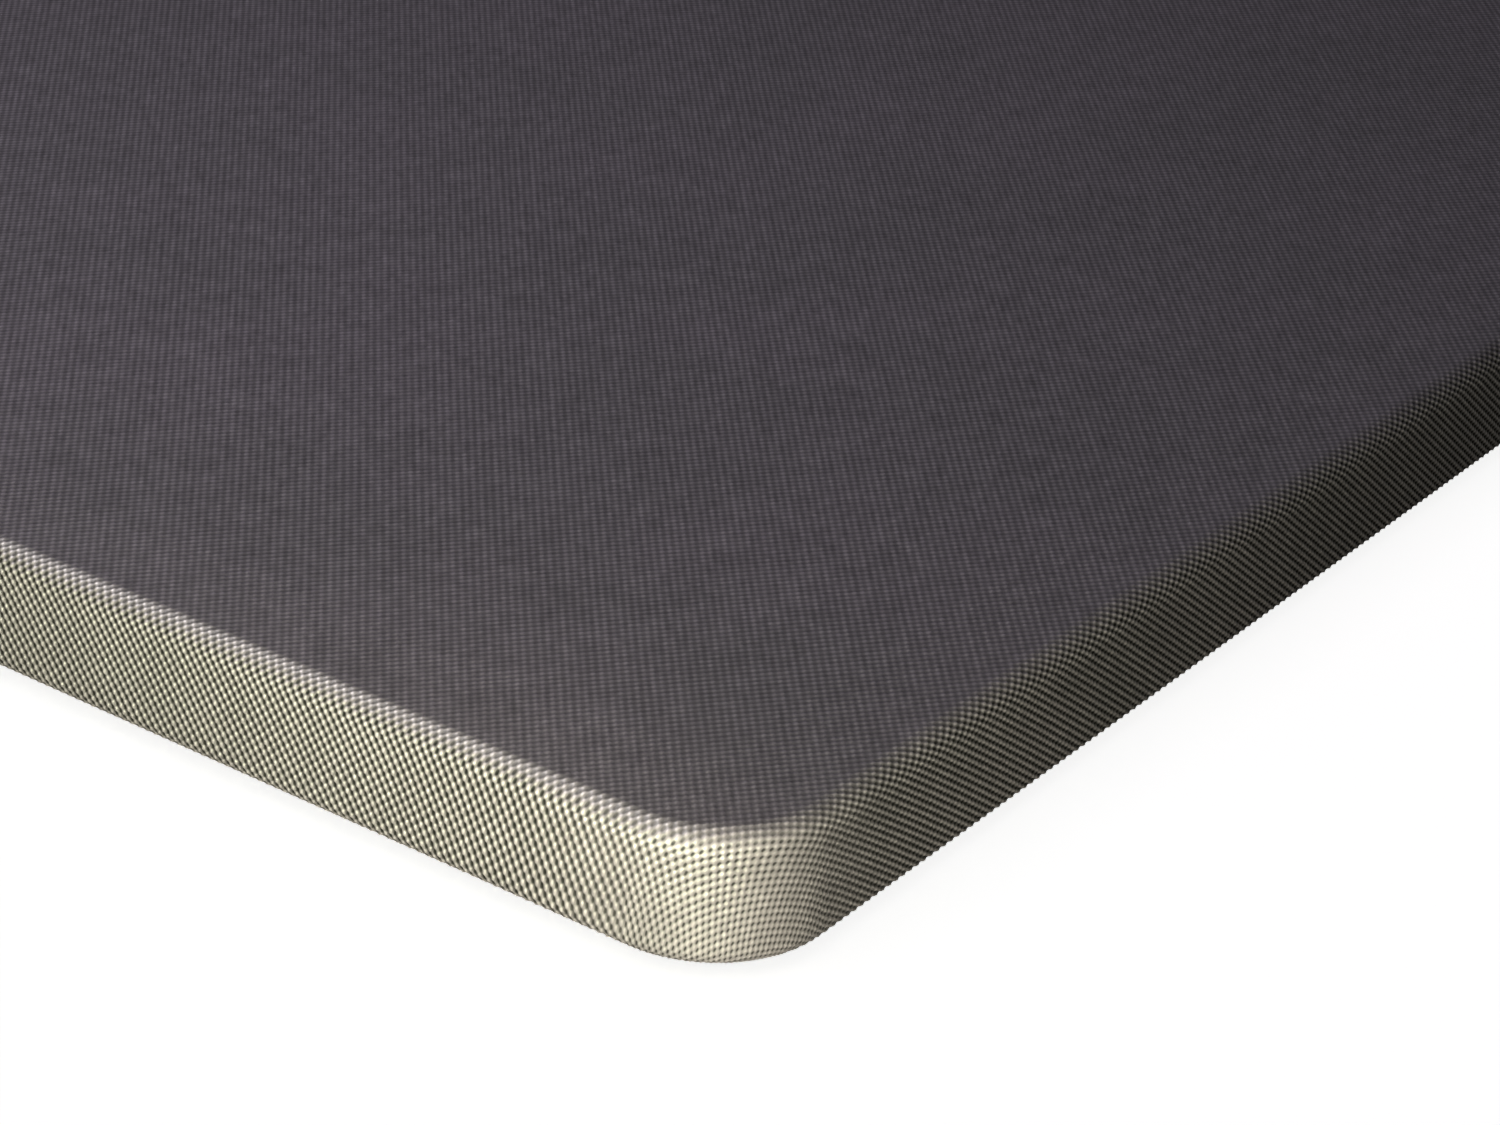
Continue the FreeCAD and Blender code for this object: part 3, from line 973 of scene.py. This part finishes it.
def vinyl():
    """Charcoal vinyl pressed with a plain weave: lighter, smoother crowns, and rougher pits
    painted near black as shade.
    """
    mat = Shader("vinyl_weave")
    thread_x, thread_y, loose = mat.split(mat.attribute("sheet"))
    drop, slant, pit_shade = mat.split(mat.attribute("marks"))
    height, slope_x, slope_y, over = weave_nodes(mat, thread_x, thread_y, slant)

    # each knuckle a shade lighter or darker than the next, and leaning its own way
    cell = mat.node("ShaderNodeTexWhiteNoise", noise_dimensions="2D")
    cell_at = mat.combine(mat.math("ROUND", thread_x), mat.math("ROUND", thread_y))
    mat.put(cell.inputs["Vector"], cell_at)
    knuckle = cell.outputs["Value"]
    lean_size = mat.mul(over, mat.ramp(drop, over=(-1.0, 3.0), to=(0.08, 0.13)))
    centred = mat.vec("SUBTRACT", cell.outputs["Color"], (0.5, 0.5, 0.5))
    lean = mat.scaled(centred, lean_size)

    # the weave's slopes tilt the normal where it isn't in the mesh
    slope = mat.vec(
        "ADD",
        mat.scaled(mat.attribute("grad_p"), mat.mul(slope_x, loose)),
        mat.scaled(mat.attribute("grad_q"), mat.mul(slope_y, loose)),
    )
    surface = mat.node("ShaderNodeNewGeometry").outputs["Normal"]
    tilted = mat.vec("SUBTRACT", surface, mat.vec("ADD", slope, lean))
    normal = mat.vec("NORMALIZE", tilted)

    where = mat.place()
    cloud = mat.noise(where, scale=22.0, detail=3.0, rough=0.55)
    mottle = mat.noise(where, scale=190.0, detail=2.0, rough=0.6)
    grain = mat.noise(where, scale=5200.0, detail=2.0, rough=0.6)
    crown_light, crown_dark = rgb(0.066, 0.0595, 0.0705), rgb(0.058, 0.0535, 0.062)
    crown = mat.mix(mat.ramp(cloud, over=(0.35, 0.65)), crown_light, crown_dark)
    # painted shade: the pits are given a near-black colour in place of the shade inside them
    pit = rgb(0.003, 0.003, 0.003)

    # the painted pit shade shrinks to small dark points where the corner has drawn the sheet out
    faded = mat.mul(mat.sub(1.0, pit_shade), mat.ramp(drop, over=(1.5, 3.5)))
    gamma = mat.line(faded, gain=-3.0, base=1.4)
    rise = mat.math("POWER", mat.ramp(height, over=(0.14, 0.92)), gamma)
    # the painted pit shade is weaker on the standing surface than on the walls
    wall_pit_shade = mat.ramp(drop, over=(1.5, 3.5), to=(0.0, 0.92))
    dark = mat.mul(mat.sub(1.0, rise), mat.math("MAXIMUM", pit_shade, wall_pit_shade))
    rise = mat.sub(1.0, dark)
    colour = mat.mix(rise, pit, crown)

    shade = mat.line(knuckle, gain=0.22, base=0.89)
    shade = mat.mul(shade, mat.line(mottle, gain=0.30, base=0.85))
    # the brow is rubbed a little lighter
    brow_start = mat.ramp(drop, over=(-1.0, 1.6))
    brow_end = mat.ramp(drop, over=(2.6, 6.5), to=(1.0, 0.0))
    patchy = mat.mul(rise, mat.ramp(cloud, over=(0.3, 0.7), to=(0.4, 1.0)))
    rub = mat.mul(mat.mul(brow_start, brow_end), patchy)
    shade = mat.mul(shade, mat.line(rub, gain=0.35, base=1.0))
    # faint streaks along the weave's diagonal on the standing surface
    streak_across, streak_along = 0.45, 0.10  # frequencies per thread
    streak_at = mat.combine(
        mat.mul(mat.math("ADD", thread_x, thread_y), streak_across),
        mat.mul(mat.sub(thread_x, thread_y), streak_along),
    )
    streak = mat.noise(streak_at, scale=1.0, detail=1.0)
    streak_gain = mat.ramp(drop, over=(-1.0, 2.0), to=(0.85, 0.0))
    shade = mat.mul(shade, mat.line(mat.sub(streak, 0.5), gain=streak_gain, base=1.0))

    rough = mat.line(rise, gain=-0.13, base=0.48)
    rough = mat.line(mat.sub(mottle, 0.5), gain=0.10, base=rough)
    rough = mat.line(mat.sub(knuckle, 0.5), gain=0.06, base=rough)
    # rise carries the painted pit shade, so it also dims the reflection in the pits
    mat.set(
        Base_Color=mat.scaled(colour, shade),
        Roughness=rough,
        IOR=1.52,
        Specular_IOR_Level=mat.line(rise, gain=0.85, base=0.03),
        Normal=mat.bump(grain, distance=0.000012, normal=normal),
    )
    return mat.material


def textile():
    """Knitted polyester: rows of small loops in a warm off-white."""
    mat = Shader("knit_backing")
    x, y, z = mat.split(mat.place())
    loop_width, loop_height = 0.0011, 0.0009
    across = mat.math("SINE", mat.mul(x, 2 * pi / loop_width))
    rows = mat.mul(mat.math("ADD", y, z), 2 * pi / loop_height)
    along = mat.math("SINE", mat.line(mat.math("ABSOLUTE", across), gain=1.3, base=rows))
    loop = mat.line(mat.mul(across, along), gain=0.5, base=0.5)
    fuzz = mat.noise(mat.place(), scale=900.0, detail=3.0, rough=0.6)
    cloud = mat.noise(mat.place(), scale=30.0)
    low, high, stain = rgb(0.36, 0.34, 0.30), rgb(0.62, 0.60, 0.55), rgb(0.50, 0.47, 0.41)
    # painted shade: the yarn is darker down between the loops than on their tops
    colour = mat.mix(mat.ramp(loop, over=(0.2, 0.8)), low, high)
    colour = mat.mix(mat.ramp(cloud, over=(0.3, 0.7), to=(0.0, 0.35)), colour, stain)
    mat.set(
        Base_Color=colour,
        Roughness=mat.line(loop, gain=-0.12, base=0.92),
        Sheen_Weight=0.35,
        Sheen_Roughness=0.5,
        Normal=mat.bump(mat.line(fuzz, gain=0.4, base=loop), distance=0.00012),
    )
    return mat.material


def foam(name, dark, light, scale, distance, rough):
    """Cut foam: cell walls, hollows and larger voids painted darker as shade, and a slow change of
    tone.
    """
    mat = Shader(name)
    where = mat.place()
    cell = mat.cells(where, scale, feature="DISTANCE_TO_EDGE")
    void = mat.cells(where, scale * 0.31)
    cloud = mat.noise(where, scale=14.0, detail=3.0)
    wall = mat.ramp(cell, over=(0.02, 0.22), to=(1.0, 0.0))
    # painted shade: the cells' hollows take the dark colour and the larger voids a darker one
    # still
    void_shade = rgb(*[part * 0.35 for part in dark])
    cloud_tone = rgb(*[part * 0.7 for part in light])
    colour = mat.mix(wall, rgb(*dark), rgb(*light))
    colour = mat.mix(mat.ramp(void, over=(0.10, 0.22), to=(0.55, 0.0)), colour, void_shade)
    colour = mat.mix(mat.ramp(cloud, over=(0.3, 0.7), to=(0.0, 0.25)), colour, cloud_tone)
    sunk = mat.ramp(void, over=(0.10, 0.25), to=(-0.8, 0.0))
    mat.set(
        Base_Color=colour,
        Roughness=mat.line(wall, gain=-0.1, base=rough),
        Normal=mat.bump(mat.line(sunk, gain=1.0, base=wall), distance),
    )
    return mat.material


def adhesive():
    """Dried contact adhesive: amber with roller streaks along X and tiny bubbles."""
    mat = Shader("adhesive_film")
    where = mat.place()
    x, y, z = mat.split(where)
    drawn_out = 0.12  # frequency along X as a share of the others
    stretched = mat.combine(mat.mul(x, drawn_out), y, z)
    streak = mat.noise(stretched, scale=260.0, detail=4.0, rough=0.6)
    bubble = mat.cells(where, scale=420.0)
    cloud = mat.noise(where, scale=18.0, detail=3.0)
    amber, pale, brown = rgb(0.52, 0.40, 0.22), rgb(0.68, 0.57, 0.38), rgb(0.42, 0.30, 0.15)
    colour = mat.mix(mat.ramp(streak, over=(0.3, 0.7)), amber, pale)
    colour = mat.mix(mat.ramp(cloud, over=(0.35, 0.7), to=(0.0, 0.4)), colour, brown)
    height = mat.sub(streak, mat.ramp(bubble, over=(0.05, 0.18), to=(0.5, 0.0)))
    mat.set(
        Base_Color=colour,
        Roughness=mat.line(streak, gain=0.25, base=0.22),
        Specular_IOR_Level=0.45,
        Normal=mat.bump(height, distance=0.00006),
    )
    return mat.material


def rubber():
    """Black non-slip rubber: fine calendered grain, pale bloom in patches, scuffs."""
    mat = Shader("base_rubber")
    where = mat.place()
    grain = mat.noise(where, scale=2600.0, detail=3.0, rough=0.6)
    pebble = mat.cells(where, scale=900.0)
    bloom = mat.noise(where, scale=26.0, detail=4.0, rough=0.6)
    scuff = mat.noise(where, scale=130.0, detail=5.0, rough=0.7)
    black, pale = rgb(0.016, 0.016, 0.017), rgb(0.050, 0.050, 0.052)
    scuffed = rgb(0.085, 0.083, 0.080)
    colour = mat.mix(mat.ramp(bloom, over=(0.42, 0.72), to=(0.0, 0.5)), black, pale)
    colour = mat.mix(mat.ramp(scuff, over=(0.58, 0.72), to=(0.0, 0.45)), colour, scuffed)
    mat.set(
        Base_Color=colour,
        Roughness=mat.line(bloom, gain=0.2, base=0.55),
        Specular_IOR_Level=0.4,
        Normal=mat.bump(mat.line(pebble, gain=-0.7, base=grain), distance=0.00008),
    )
    return mat.material


def dress(obj, material):
    """Every material slot of the object takes the material."""
    if obj.material_slots:
        for slot in obj.material_slots:
            slot.link = "OBJECT"
            slot.material = material
    else:
        obj.data.materials.append(material)


skin_material, film_material = vinyl(), adhesive()
dress(cover, skin_material)
dress(backing, textile())
# dark is the painted shade in the foam's hollows, light the colour of its cell walls
dress(cushion, foam(
    "cushion_foam_cells", dark=(0.055, 0.056, 0.060), light=(0.150, 0.152, 0.160),
    scale=950.0, distance=0.00022, rough=0.95,
))
dress(support, foam(
    "support_foam_cells", dark=(0.022, 0.022, 0.024), light=(0.070, 0.071, 0.075),
    scale=1500.0, distance=0.00014, rough=0.88,
))
for name in ("skin_bond_film", "core_bond_film", "flange_bond_tape", "base_bond_film"):
    dress(nodes[name], film_material)
dress(nodes["base_sheet"], rubber())
for name in ("wear_skin", "skin_backing", "cushion_foam", "support_foam"):
    dress(nodes[name], skin_material)  # hidden, and replaced below

for piece, node_name, slot_name in (
    (cover, "wear_skin", "skin"),
    (backing, "skin_backing", "textile"),
    (cushion, "cushion_foam", "cushion_foam"),
    (support, "support_foam", "support_foam"),
):
    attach(piece, "root")
    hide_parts(node_name)


# ---------------------------------------------------------------- floor
def floor_material():
    """Near white to the camera, and a darker matt ground to all other rays."""
    mat = Shader("floor_pale")
    path = mat.node("ShaderNodeLightPath")
    camera_ray = path.outputs["Is Camera Ray"]
    tone = mat.noise(mat.place(), scale=1.3)
    seen = mat.mix(tone, rgb(0.80, 0.80, 0.80), rgb(0.83, 0.83, 0.82))
    glow = 0.88
    mat.set(
        Base_Color=mat.mix(camera_ray, rgb(0.16, 0.15, 0.14), seen),
        Roughness=0.9,
        Specular_IOR_Level=0.0,
        Emission_Color=rgb(1.0, 1.0, 0.995),
        Emission_Strength=mat.mul(camera_ray, glow),
    )
    return mat.material


def build_floor():
    """A wide pale sheet on the ground, a touch uneven away from the mat."""
    count, half, dip = 61, 14.0, -0.0004
    share = np.linspace(-1, 1, count)
    span = np.sign(share) * (np.abs(share) ** 2.0) * half
    x, y = pairs(span, span)
    wave = 0.5 + 0.5 * np.sin(x * 2.1 + 0.5) * np.sin(y * 1.7)
    z = dip * wave * smooth(np.hypot(x, y), start=0.7, stop=2.0)
    mesh = bpy.data.meshes.new("floor")
    faces = upward_quads(count, count)
    mesh.from_pydata(np.stack([x, y, z], 1).tolist(), [], faces.tolist())
    mesh.polygons.foreach_set("use_smooth", [True] * len(mesh.polygons))
    obj = link_new("floor", mesh)
    mesh.materials.append(floor_material())
    return obj


floor = build_floor()

keep_off_floor = bpy.data.collections.new("keep_off_floor")
keep_off_floor.objects.link(floor)
keep_off_floor.collection_objects[0].light_linking.link_state = "EXCLUDE"


# ---------------------------------------------------------------- lights
def pose(x_axis, y_axis, z_axis, place):
    """World matrix from the object's axes and place."""
    rows = np.array([x_axis, y_axis, z_axis, place]).T
    return Matrix([*rows.tolist(), (0, 0, 0, 1)])


def softbox(
    name, view, size, level, colour, target, facing_up=False, mirrored=True, on_floor=False
):
    """A rectangular soft light.

    view is its azimuth (0 is the -Y side, 90 is the +X side) and elevation in degrees and its
    distance, all seen from the target. level is its surface radiance.
    """
    azimuth, elevation, distance = radians(view[0]), radians(view[1]), view[2]
    width, height = size
    data = bpy.data.lights.new(name, "AREA")
    data.shape, data.size, data.size_y = "RECTANGLE", width, height
    data.energy, data.color = level * pi * width * height, colour
    obj = link_new(name, data)
    flat = cos(elevation)
    out = np.array([sin(azimuth) * flat, -cos(azimuth) * flat, sin(elevation)])
    x_axis = np.array([cos(azimuth), sin(azimuth), 0.0])
    y_axis = np.cross(out, x_axis)
    place = np.array(target) + out * distance
    if facing_up:
        x_axis, out = -x_axis, -out
    obj.matrix_world = pose(x_axis, y_axis, out, place)
    obj.visible_camera = False
    obj.visible_glossy = mirrored  # a mirrored low light would glare along the standing surface
    if not on_floor:
        obj.light_linking.receiver_collection = keep_off_floor


WARM, COOL = (0.98, 1.0, 0.665), (1.0, 0.94, 1.0)
softbox("key_low", view=(-2.0, 3.0, 0.80), size=(0.44, 0.18), level=19, colour=WARM,
        target=(0.35, -0.25, 0.012), mirrored=False)
softbox("key_right", view=(78.0, 2.0, 0.09), size=(0.30, 0.06), level=58, colour=WARM,
        target=(0.355, -0.44, 0.030), mirrored=False)
softbox("key_corner", view=(28.0, 6.0, 0.13), size=(0.09, 0.06), level=52,
        colour=(1.0, 0.965, 0.70), target=(0.448, -0.245, 0.010), mirrored=False)
softbox("key_side", view=(72.0, 5.0, 0.11), size=(0.07, 0.06), level=17, colour=WARM,
        target=(0.457, -0.212, 0.010), mirrored=False)
softbox("key_strip", view=(14.0, 0.0, 0.15), size=(0.24, 0.015), level=58, colour=WARM,
        target=(0.36, -0.254, 0.0095))
softbox("corner_strip", view=(28.0, 0.0, 0.11), size=(0.07, 0.015), level=26, colour=WARM,
        target=(0.448, -0.250, 0.0095))
softbox("side_strip", view=(140.0, 0.0, 0.20), size=(0.12, 0.015), level=4,
        colour=(1.0, 0.95, 0.82), target=(0.457, -0.13, 0.0095))
softbox("card_front", view=(0.0, 90.0, 0.0), size=(0.50, 0.30), level=5, colour=WARM,
        target=(0.30, -0.46, 0.0015), facing_up=True)
softbox("top_near", view=(-26.0, 57.0, 0.46), size=(0.35, 0.25), level=11.0, colour=COOL,
        target=(0.275, -0.125, 0.019))
softbox("fill_back", view=(214.0, 7.0, 2.0), size=(2.0, 0.45), level=12, colour=COOL,
        target=(-0.1, 0.1, 0.01), mirrored=False)
softbox("overhead", view=(0.0, 88.0, 2.4), size=(2.4, 2.4), level=0.34,
        colour=(0.98, 0.95, 1.0), target=(0.0, 0.0, 0.0), on_floor=True)


def build_world():
    """White to the camera, and a dim grey to all other rays."""
    world = bpy.data.worlds.new("studio")
    bpy.context.scene.world = world
    world.use_nodes = True
    tree = world.node_tree
    tree.nodes.clear()
    output = tree.nodes.new("ShaderNodeOutputWorld")
    background = tree.nodes.new("ShaderNodeBackground")
    path = tree.nodes.new("ShaderNodeLightPath")
    mix = tree.nodes.new("ShaderNodeMix")
    mix.data_type = "RGBA"
    mix.inputs[6].default_value = rgb(0.08, 0.076, 0.084)
    mix.inputs[7].default_value = rgb(1.0, 1.0, 0.995)
    tree.links.new(path.outputs["Is Camera Ray"], mix.inputs[0])
    tree.links.new(mix.outputs[2], background.inputs[0])
    tree.links.new(background.outputs[0], output.inputs[0])


def build_camera(eye, turn, tilt, roll, lens):
    """A camera looking down at the front right corner.

    turn is the heading from -X towards +Y, tilt is downward, and both are in degrees, as is roll.
    """
    data = bpy.data.cameras.new("camera")
    camera = link_new("camera", data)
    bpy.context.scene.camera = camera
    data.sensor_width, data.lens = 36.0, lens
    data.clip_start, data.clip_end = 0.02, 60.0
    turn, tilt, roll = radians(turn), radians(tilt), radians(roll)
    look = np.array([-cos(turn) * cos(tilt), sin(turn) * cos(tilt), -sin(tilt)])
    level = np.array([sin(turn), cos(turn), 0.0])
    upright = np.array([-cos(turn) * sin(tilt), sin(turn) * sin(tilt), cos(tilt)])
    right = cos(roll) * level + sin(roll) * upright
    above = -sin(roll) * level + cos(roll) * upright
    camera.matrix_world = pose(right, above, -look, eye)


build_world()
build_camera(
    eye=(0.681364, -0.581319, 0.266330), turn=55.357, tilt=27.824, roll=3.108, lens=102.403
)

view = bpy.context.scene.view_settings
view.view_transform, view.look, view.exposure, view.gamma = "Standard", "None", 0.0, 1.0

# ---------------------------------------------------------------- final update of the scene
bpy.context.view_layer.update()
